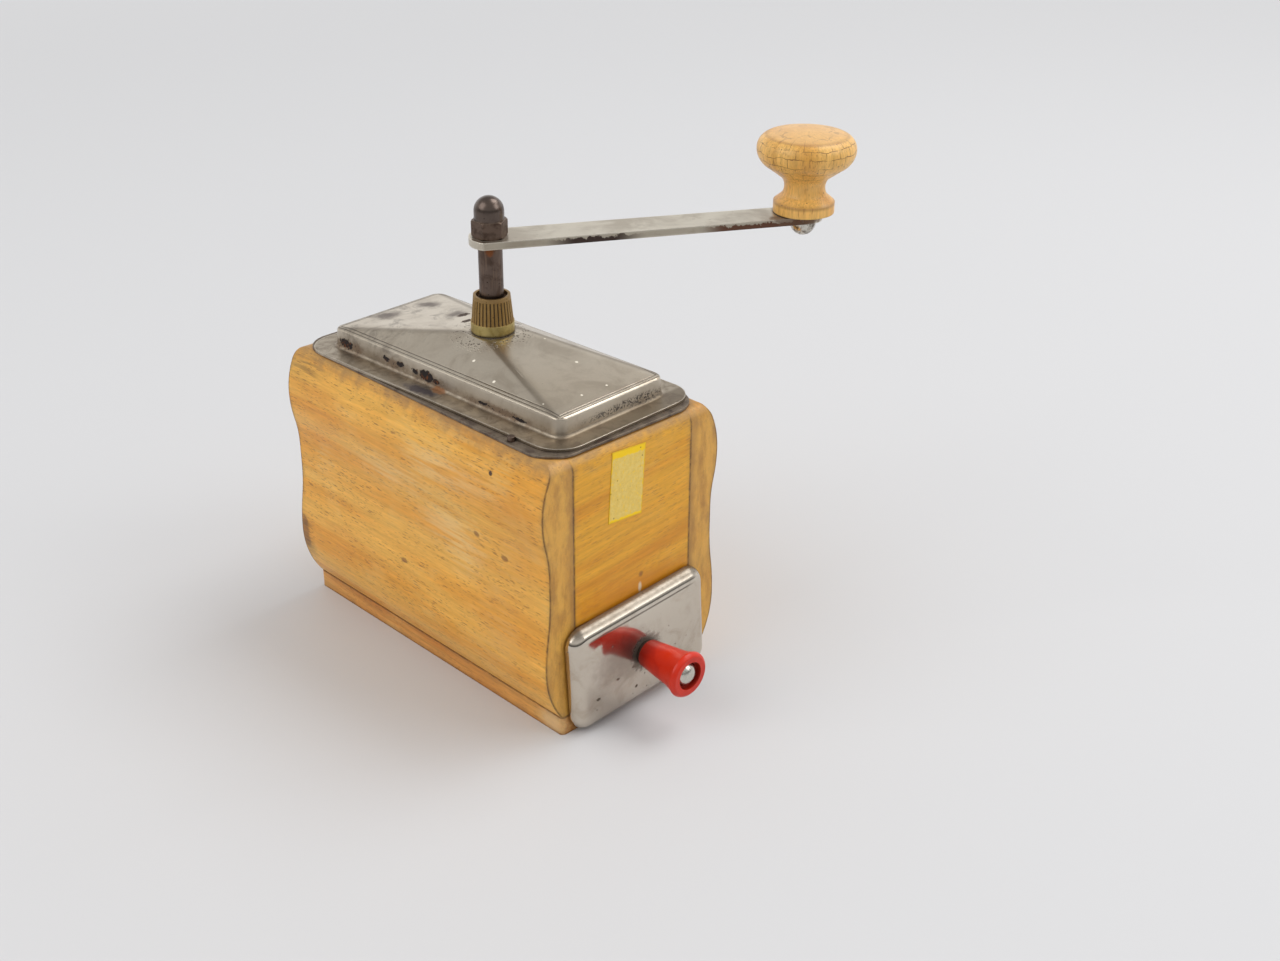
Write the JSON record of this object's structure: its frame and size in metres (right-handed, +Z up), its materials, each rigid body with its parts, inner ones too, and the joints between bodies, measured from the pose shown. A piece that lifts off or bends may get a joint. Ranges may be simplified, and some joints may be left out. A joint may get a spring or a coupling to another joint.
{
  "type": "spice mill",
  "caption": "Wooden box spice mill turned by a top crank, with a burr set under a hopper, a swing lid and a front drawer.",
  "frame": {"origin": "on the shaft's axis at the underside of the base board", "axes": "+Z up along the shaft, -Y towards the drawer's front, +X to the right seen from the front"},
  "size_m": [0.1429, 0.1549, 0.1671],
  "materials": {
    "case_wood": "satin",
    "base_wood": "satin",
    "inner_wood": "matte",
    "knob_wood": "satin",
    "lid_nickel": "satin",
    "plate_metal": "matte",
    "arm_nickel": "satin",
    "drawer_nickel": "polished",
    "nut_brass": "satin",
    "dark_steel": "satin",
    "pin_steel": "satin",
    "plain_steel": "satin",
    "burr_iron": "matte",
    "red_plastic": "gloss",
    "paper": "matte"
  },
  "bodies": {
    "case": {"base_board": "base_wood", "left_side_board": "case_wood", "right_side_board": "case_wood", "front_panel": "case_wood", "rear_panel": "case_wood", "mill_board": "inner_wood", "label": "paper", "hopper_plate": "plate_metal", "lid_stop_pin": "dark_steel", "hopper_funnel": "plain_steel", "upper_bridge": "plain_steel", "neck_bush": "nut_brass", "bush_nut": "plain_steel", "outer_burr": "burr_iron", "lower_bridge": "plain_steel", "base_screw_1": "plain_steel", "base_screw_2": "plain_steel", "base_screw_3": "plain_steel", "base_screw_4": "plain_steel", "plate_screw_1": "plain_steel", "plate_screw_2": "plain_steel", "plate_screw_3": "plain_steel", "plate_screw_4": "plain_steel", "bridge_rivet_1": "plain_steel", "bridge_rivet_2": "plain_steel", "burr_screw_1": "plain_steel", "burr_screw_2": "plain_steel", "lower_bridge_screw_1": "plain_steel", "lower_bridge_screw_2": "plain_steel"},
    "drawer": {"drawer_front": "inner_wood", "drawer_left_side": "inner_wood", "drawer_right_side": "inner_wood", "drawer_back": "inner_wood", "drawer_floor": "inner_wood", "drawer_plate": "drawer_nickel", "drawer_knob_washer": "dark_steel", "drawer_knob": "red_plastic", "drawer_knob_screw": "pin_steel"},
    "lid": {"lid": "lid_nickel"},
    "lid_nut": {"lid_nut": "nut_brass"},
    "adjuster": {"adjusting_screw": "plain_steel"},
    "lock_nut": {"lock_nut": "plain_steel"},
    "thrust_pad": {"thrust_pad": "plain_steel"},
    "crank": {"shaft": "dark_steel", "inner_burr": "burr_iron", "burr_pin": "plain_steel", "crank_arm": "arm_nickel", "cap_nut": "dark_steel", "knob_pin": "pin_steel"},
    "crank_knob": {"crank_knob": "knob_wood"}
  },
  "joints": [
    {"name": "drawer_slide", "type": "slide", "parent": "case", "child": "drawer", "axis": [0, -1, 0], "range_m": [0, 0.095]},
    {"name": "lid_swing", "type": "hinge", "parent": "case", "child": "lid", "pos_m": [0, 0, 0.095], "axis": [0, 0, 1], "range_deg": [0, 105]},
    {"name": "lid_nut_turn", "type": "hinge", "parent": "case", "child": "lid_nut", "pos_m": [0, 0, 0.115], "axis": [0, 0, 1], "continuous": true},
    {"name": "adjuster_turn", "type": "hinge", "parent": "case", "child": "adjuster", "pos_m": [0, 0, 0.042], "axis": [0, 0, 1], "range_deg": [0, 360]},
    {"name": "lock_nut_turn", "type": "hinge", "parent": "case", "child": "lock_nut", "pos_m": [0, 0, 0.042], "axis": [0, 0, 1], "continuous": true},
    {"name": "pad_lift", "type": "slide", "parent": "case", "child": "thrust_pad", "axis": [0, 0, 1], "range_m": [0, 0.001]},
    {"name": "crank_turn", "type": "hinge", "parent": "thrust_pad", "child": "crank", "pos_m": [0, 0, 0.138], "axis": [0, 0, 1], "continuous": true},
    {"name": "knob_spin", "type": "hinge", "parent": "crank", "child": "crank_knob", "pos_m": [0.09, -0.0505, 0.15], "axis": [0, 0, 1], "continuous": true}
  ],
  "couplings": [
    {"joint": "adjuster_turn", "follows": "pad_lift", "rad_per_m": 6283.2}
  ]
}
